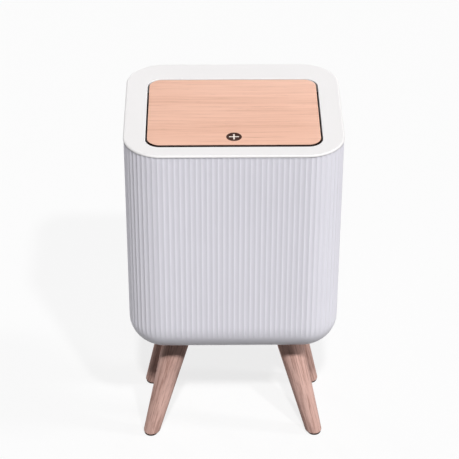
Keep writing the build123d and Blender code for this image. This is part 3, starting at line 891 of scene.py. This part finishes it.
class BIN_OT_legs(bpy.types.Operator):
    """Four turned, tapered and splayed legs with their foot pads"""

    bl_idname = "bin.legs"
    bl_label = "Legs"

    def execute(self, context):
        sizes = context.scene.bin_sizes
        colours = context.scene.bin_colours
        tints = (colours.leg_light, colours.leg_dark)
        for seed, (name, (side, _)) in enumerate(CORNERS.items()):
            low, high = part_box(name + "_foot_pad")
            foot = Vector((*middle_of(low, high), 0.0))
            top = Vector((*leg_place(context, name), sizes.underside))
            shell = Shell()
            shell.closed(self.shank(sizes, foot, top) + self.turned_end(sizes, side, top))
            leg = shell.done(name + "_turned_leg")
            wood = leg_wood(name + "_wood", *tints, foot, top, GRAIN_STEP * seed)
            fit_piece(leg, wood, "bin", "leg_wood", name + "_leg")
            self.pad(context, name, foot)
        return {"FINISHED"}

    def shank(self, sizes, foot, top):
        """Rings from the foot pad's hole, round the foot and up to the tub."""
        along = (top - foot).normalized()
        across = along.cross(Vector((0, 1, 0))).normalized()
        third = along.cross(across)
        if across.x < 0:
            across = -across
            third = -third
        angles = [2 * pi * i / LEG_SIDES for i in range(LEG_SIDES)]
        spokes = [across * cos(angle) - third * sin(angle) for angle in angles]

        def section(z, inset=0.0):
            middle = foot.lerp(top, z / top.z)
            points = []
            for spoke in spokes:
                low = foot + spoke * sizes.leg_foot
                high = top + spoke * sizes.leg_top
                point = low.lerp(high, (z - low.z) / (high.z - low.z))
                level = Vector((point.x - middle.x, point.y - middle.y, 0.0))
                points.append(point - level.normalized() * inset)
            return points

        bore = sizes.pad_spigot + sizes.close_fit
        start = sizes.pad_height
        rings = [circle(bore, z, foot.x, foot.y, LEG_SIDES) for z in (sizes.spigot_bore, start)]
        edge = sizes.foot_rounding
        for on, inward in rounding(FOOT_STEPS):
            rings.append(section(start + edge * on, edge * inward))
        start += edge
        for i in range(1, SHANK_STEPS + 1):
            rings.append(section(start + (top.z - start) * i / SHANK_STEPS))
        return rings

    def turned_end(self, sizes, side, top):
        """Rings from the tub's underside over the end of a leg and down its screw's hole."""
        end = top.z + sizes.spigot_length
        spigot = (sizes.spigot_radius, sizes.spigot_flat, side)
        rings = [clipped_circle(*spigot, z, top.x, top.y, LEG_SIDES) for z in (top.z, end)]
        seat = sizes.washer_radius + sizes.fit
        bore = sizes.leg_screw + sizes.close_fit
        floor = end - sizes.washer_seat
        for radius, z in ((seat, end), (seat, floor), (bore, floor), (bore, end - sizes.leg_bore)):
            rings.append(circle(radius, z, top.x, top.y, LEG_SIDES))
        return rings

    def pad(self, context, name, foot):
        """Rubber disc with a spigot, below one leg."""
        sizes = context.scene.bin_sizes
        radius = sizes.pad_radius
        edge = sizes.pad_edge
        top = sizes.spigot_bore - sizes.fit
        profile = [
            (radius - edge, 0.0),
            (radius - mm(0.25), mm(0.12)),
            (radius, edge),
            (radius, sizes.pad_height),
            (sizes.pad_spigot, sizes.pad_height),
            (sizes.pad_spigot, top - edge),
            (sizes.pad_spigot - mm(0.4), top),
        ]
        shell = Shell()
        shell.closed(turned(profile, count=40))
        shell.move(Matrix.Translation(foot))
        pad = shell.done(name + "_pad")
        dark = finish_for("pad_rubber", rubber_finish, context.scene.bin_colours.rubber)
        fit_piece(pad, dark, "bin", "rubber", name + "_foot_pad")


class BIN_OT_board(bpy.types.Operator):
    """Wood-look sheet on the lid's panel, with softened edges and the hole for the press mark"""

    bl_idname = "bin.board"
    bl_label = "Lid's wood-look sheet"

    def execute(self, context):
        sizes = context.scene.bin_sizes
        low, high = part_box("lid_facing")
        mark_low, mark_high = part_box("press_mark")
        middle = middle_of(low, high)
        half = ((high.x - low.x) / 2, (high.y - low.y) / 2)
        outline = rounded_outline(*half, sizes.board_corner, BOARD_CORNER_STEPS, BOARD_SIDE_STEPS)
        edge = sizes.board_edge
        rings = [level_ring(outline, 0.0, low.z, middle)]
        for inward, on in rounding(BOARD_EDGE_STEPS):
            rings.append(level_ring(outline, edge * inward, high.z - edge * on, middle))
        x, y = middle_of(mark_low, mark_high)
        hole = (mark_high.x - mark_low.x) / 2 + sizes.fit
        shell = Shell()
        outside = shell.skin(rings)
        heights = (low.z, high.z - edge / 4, high.z)
        inside = shell.skin([circle(hole, z, x, y, count=64) for z in heights])
        shell.fill(outside[0], inside[0])
        shell.fill(outside[-1], inside[-1])
        sheet = shell.done("lid_sheet")
        colours = context.scene.bin_colours
        tints = (colours.board_light, colours.board_dark, colours.tray)
        film = finish_for("board_film", board_film, *tints, high.z - edge / 2)
        fit_piece(sheet, film, "lid", "wood_look_panel", "lid_facing")
        return {"FINISHED"}


class BIN_OT_mark(bpy.types.Operator):
    """Round press mark: a dark disc with a raised rim and a raised light cross"""

    bl_idname = "bin.mark"
    bl_label = "Press mark"

    def execute(self, context):
        sizes = context.scene.bin_sizes
        low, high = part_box("press_mark")
        middle = Vector((*middle_of(low, high), 0.0))
        radius = (high.x - low.x) / 2
        rim = radius - sizes.mark_rim
        floor = high.z - sizes.mark_sink
        edge = sizes.mark_edge
        profile = [
            (radius, low.z),
            (radius, high.z - edge),
            (radius - edge, high.z),
            (rim + edge, high.z),
            (rim, floor),
        ]
        cross = [
            cross_ring(sizes.mark_reach - inset, sizes.mark_bar / 2 - inset, z)
            for inset, z in ((0.0, floor), (0.0, high.z - edge), (edge, high.z))
        ]
        shell = Shell()
        rings = shell.skin(turned(profile, count=72))
        shell.cap(rings[0])
        bars = shell.skin(cross)
        shell.fill(rings[-1], bars[0])
        shell.cap(bars[-1])
        shell.move(Matrix.Translation(middle))
        disc = shell.done("press_disc")
        colours = context.scene.bin_colours
        tints = (colours.mark, colours.mark_light)
        half = sizes.mark_sink / 2
        limits = (sizes.mark_reach + half, floor + half)
        finish = finish_for("mark_print", mark_print, *tints, middle, *limits)
        fit_piece(disc, finish, "lid", "dark_mark", "press_mark")
        return {"FINISHED"}


class BIN_OT_springs(bpy.types.Operator):
    """Two torsion springs round the hinge pin and the coil spring below the latch's plunger"""

    bl_idname = "bin.springs"
    bl_label = "Springs"

    def execute(self, context):
        sizes = context.scene.bin_sizes
        steel = finish_for("spring_wire", metal, context.scene.bin_colours.spring, roughness=0.28)
        for side, node in ((-1, "left_torsion_spring"), (1, "right_torsion_spring")):
            self.torsion_spring(sizes, side, node, steel)
        low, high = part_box("latch_spring")
        radius = (high.x - low.x) / 2 - sizes.latch_wire
        height = high.z - low.z - 2 * sizes.latch_wire
        turns = sizes.latch_turns
        along = np.linspace(0.0, turns + 2.0, int((turns + 2.0) * COIL_SIDES) + 1)
        closed = 2 * sizes.latch_wire
        rise = (height - 2 * closed) * np.clip((along - 1.0) / turns, 0.0, 1.0)
        rise += closed * (np.clip(along, 0.0, 1.0) + np.clip(along - turns - 1.0, 0.0, 1.0))
        x, y = middle_of(low, high)
        z = low.z + sizes.latch_wire + rise
        angles = 2 * pi * along
        path = np.column_stack([x + radius * np.cos(angles), y + radius * np.sin(angles), z])
        spring = wire("latch_coil", path, sizes.latch_wire, count=8)
        fit_piece(spring, steel, "cover", "spring_steel", "latch_spring")
        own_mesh(spring)
        return {"FINISHED"}

    def torsion_spring(self, sizes, side, node, steel):
        """Hook in the cover's collar, coil round the pin and arm below the lid."""
        low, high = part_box(node)
        radius = sizes.coil_radius
        step = sizes.hook_bend
        outer = (high.x if side > 0 else -low.x) - sizes.hook_reach
        inner = outer - sizes.coil_pitch * sizes.coil_turns
        y = high.y - radius - sizes.coil_wire
        z = high.z - radius - sizes.coil_wire
        hook = (outer, y + radius - sizes.hook_shift, low.z + sizes.coil_wire)
        path = [(outer + reach, *hook[1:]) for reach in (sizes.hook_reach, 2 * step)]
        path += list(bend(hook, (-1, 0, 0), (0, 0, 1), step))
        path += [(outer, y + radius, z - drop) for drop in (4 * step, step)]
        path += list(coil(outer, y, z, radius, inner - outer, sizes.coil_turns))
        path += [(inner, end, z + radius) for end in (y - step, y - 8 * step, low.y)]
        path = np.array(path) * (side, 1, 1)
        spring = wire(node.replace("spring", "coil"), path, sizes.coil_wire)
        fit_piece(spring, steel, "", "spring_steel", node)
        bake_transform(spring)


class BIN_OT_screws(bpy.types.Operator):
    """Screws of the legs, lid, striker plate and latch"""

    bl_idname = "bin.screws"
    bl_label = "Screws"

    def execute(self, context):
        sizes = context.scene.bin_sizes
        steel = finish_for("screw_steel", metal, context.scene.bin_colours.steel, roughness=0.3)
        low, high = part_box("leg_screws")
        shell = Shell()
        middle = (low.z + high.z) / 2
        half = (high.z - low.z) / 2
        for name in CORNERS:
            place = Matrix.Translation((*leg_place(context, name), middle))
            add_stud(shell, place, sizes.leg_screw, half)
        fit_piece(shell.done("leg_studs", sharp=25.0), steel, "bin", "steel", "leg_screws")
        head = sizes.small_head
        height = sizes.small_head_height
        for node, body, columns in (
            ("lid_screws", "lid", 3),
            ("striker_screws", "lid", 2),
            ("latch_screws", "cover", 2),
        ):
            low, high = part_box(node)
            across = np.linspace(low.x + head, high.x - head, columns)
            if node == "latch_screws":
                seat = high.y - height
                places = [(x, seat, (low.z + high.z) / 2) for x in across]
                spin = Matrix.Rotation(-pi / 2, 4, "X")
                reach = seat - low.y
            else:
                rows = [low.y + head, high.y - head]
                if rows[1] - rows[0] < head:
                    rows = [(low.y + high.y) / 2]
                places = [(x, y, low.z + height) for x in across for y in rows]
                spin = Matrix.Rotation(pi, 4, "X")
                reach = high.z - low.z - height
            shell = Shell()
            for place in places:
                seated = Matrix.Translation(place) @ spin
                add_screw(shell, seated, sizes.small_screw, reach, head, height)
            fixings = shell.done(node.replace("screws", "fixings"))
            fit_piece(fixings, steel, body, "steel", node)
        return {"FINISHED"}


class BIN_OT_carried(bpy.types.Operator):
    """Finishes for the nodes whose shape is right as it is"""

    bl_idname = "bin.carried"
    bl_label = "Carried-over pieces"

    def execute(self, context):
        colours = context.scene.bin_colours
        cover = finish_for("cover_white", moulded, colours.cover, roughness=0.6, shine=0.12)
        brown = finish_for("tray_brown", moulded, colours.tray, roughness=0.5, shine=0.12)
        grey = finish_for("latch_grey", moulded, colours.grey, roughness=0.4)
        steel = finish_for("steel", metal, colours.steel, roughness=0.32)
        black = finish_for("blackened_steel", metal, colours.blackened, roughness=0.42)
        brass = finish_for("brass", metal, colours.brass, roughness=0.35)
        dark = finish_for("washer_rubber", rubber_finish, colours.rubber)
        for node, material in {
            "top_cover": cover,
            "lid_panel": brown,
            "lid_tray": brown,
            "latch_housing": grey,
            "latch_plunger": grey,
            "latch_magnet": steel,
            "striker_plate": steel,
            "hinge_pin": black,
            "hinge_clips": black,
            "leg_inserts": brass,
            "leg_washers": dark,
        }.items():
            dress(node, material)
        return {"FINISHED"}


class BIN_OT_stage(bpy.types.Operator):
    """Pale floor, soft lamps and the camera"""

    bl_idname = "bin.stage"
    bl_label = "Stage"
    # Azimuth from the front towards the right, elevation and spread, in degrees
    LAMPS = {
        "front": (0.0, 51.0, 3.0),
        "key": (25.0, 50.0, 3.0),
        "side": (82.0, 27.0, 8.0),
        "left": (-75.0, 12.0, 20.0),
        "back": (165.0, 5.0, 9.0),
        "rear_left": (-140.0, 5.0, 9.0),
    }
    FLOOR_RINGS = (0.4, 1.0, 3.0, 12.0)
    CAMERA_TARGET = (mm(-3.82), 0.0, mm(263.5))

    def execute(self, context):
        stage = context.scene.bin_stage
        self.floor(stage)
        self.world(context, stage)
        for name, (azimuth, elevation, spread) in self.LAMPS.items():
            share = getattr(stage, name + "_light")
            self.lamp(name + "_lamp", radians(azimuth), radians(elevation), share, radians(spread))
        self.camera(context, stage)
        return {"FINISHED"}

    def floor(self, stage):
        """Wide disc that looks white, takes soft shadows and sends little light up to the bin."""
        shell = Shell()
        rings = shell.skin(turned([(radius, 0.0) for radius in self.FLOOR_RINGS], count=96))
        shell.cap(rings[0])
        floor = shell.done("floor")
        finish = Finish("floor_paint")
        white = 3 * (stage.floor_white,)
        speckle = finish.noise(finish.place(), scale=40.0, detail=2.0)
        paint = finish.mix(speckle * 0.2, white, (0.95, 0.95, 0.95))
        matt = finish.node("BsdfDiffuse", None, {"Color": paint}).outputs[0]
        glow = finish.node("Emission", None, {"Color": white, "Strength": 1.0}).outputs[0]
        lit = finish.node("MixShader", None, {0: stage.floor_glow, 1: matt, 2: glow})
        dim = finish.node("BsdfDiffuse", None, {"Color": 3 * (stage.floor_bounce,)})
        floor.data.materials.append(finish.choose(finish.shown(), dim, lit))

    def world(self, context, stage):
        """White all round to the camera and mirrors, and a little even light to the rest."""
        finish = Finish("studio", "worlds")
        context.scene.world = finish.owner
        white = (1.0, 1.0, 1.0)
        soft = finish.node("Background", None, {"Color": white, "Strength": stage.ambient})
        plain = finish.node("Background", None, {"Color": white, "Strength": 1.0})
        finish.choose(finish.shown(), soft, plain, "OutputWorld")

    def lamp(self, name, azimuth, elevation, share, spread):
        """Distant lamp, whose energy is the light that falls square on a face turned to it."""
        light = bpy.data.lights.new(name, "SUN")
        light.energy = share * pi
        light.angle = spread
        lamp = bpy.data.objects.new(name, light)
        level = cos(elevation)
        towards = Vector((sin(azimuth) * level, -cos(azimuth) * level, sin(elevation)))
        lamp.rotation_mode = "QUATERNION"
        lamp.rotation_quaternion = towards.to_track_quat("Z", "Y")
        lamp.location = towards * 3.0
        bpy.context.scene.collection.objects.link(lamp)

    def camera(self, context, stage):
        """Camera at a distance, azimuth and rise from its target, turned by its roll."""
        data = bpy.data.cameras.new("camera")
        data.lens = stage.camera_lens
        data.sensor_width = 36.0
        data.clip_start = 0.05
        data.clip_end = 50.0
        camera = bpy.data.objects.new("camera", data)
        azimuth = stage.camera_azimuth
        rise = stage.camera_rise
        roll = stage.camera_roll
        back = Vector((sin(azimuth) * cos(rise), -cos(azimuth) * cos(rise), sin(rise)))
        right = Vector((cos(azimuth), sin(azimuth), 0.0))
        up = back.cross(right)
        turned_right = right * cos(roll) - up * sin(roll)
        turned_up = right * sin(roll) + up * cos(roll)
        matrix = Matrix((turned_right, turned_up, back)).transposed().to_4x4()
        matrix.translation = Vector(self.CAMERA_TARGET) + back * stage.camera_distance
        camera.matrix_world = matrix
        context.scene.collection.objects.link(camera)
        context.scene.camera = camera
        context.scene.view_settings.view_transform = "Standard"


OPERATORS = (
    BIN_OT_tub,
    BIN_OT_legs,
    BIN_OT_board,
    BIN_OT_mark,
    BIN_OT_springs,
    BIN_OT_screws,
    BIN_OT_carried,
    BIN_OT_stage,
)
GROUPS = {"bin_sizes": BinSizes, "bin_colours": BinColours, "bin_stage": BinStage}


class BIN_PT_pieces(bpy.types.Panel):
    """Sidebar list of the pieces and their settings"""

    bl_idname = "BIN_PT_pieces"
    bl_label = "Push-top bin"
    bl_space_type = "VIEW_3D"
    bl_region_type = "UI"
    bl_category = "Bin"

    def draw(self, context):
        for operator in OPERATORS:
            self.layout.operator(operator.bl_idname)
        for key, group in GROUPS.items():
            box = self.layout.box()
            for name in group.__annotations__:
                box.prop(getattr(context.scene, key), name)


CLASSES = (*GROUPS.values(), *OPERATORS, BIN_PT_pieces)


def register():
    for item in CLASSES:
        bpy.utils.register_class(item)
    for key, group in GROUPS.items():
        setattr(bpy.types.Scene, key, bpy.props.PointerProperty(type=group))


def unregister():
    for key in GROUPS:
        delattr(bpy.types.Scene, key)
    for item in reversed(CLASSES):
        bpy.utils.unregister_class(item)


def main():
    register()
    for operator in OPERATORS:
        family, name = operator.bl_idname.split(".")
        getattr(getattr(bpy.ops, family), name)()


if __name__ == "__main__":
    main()
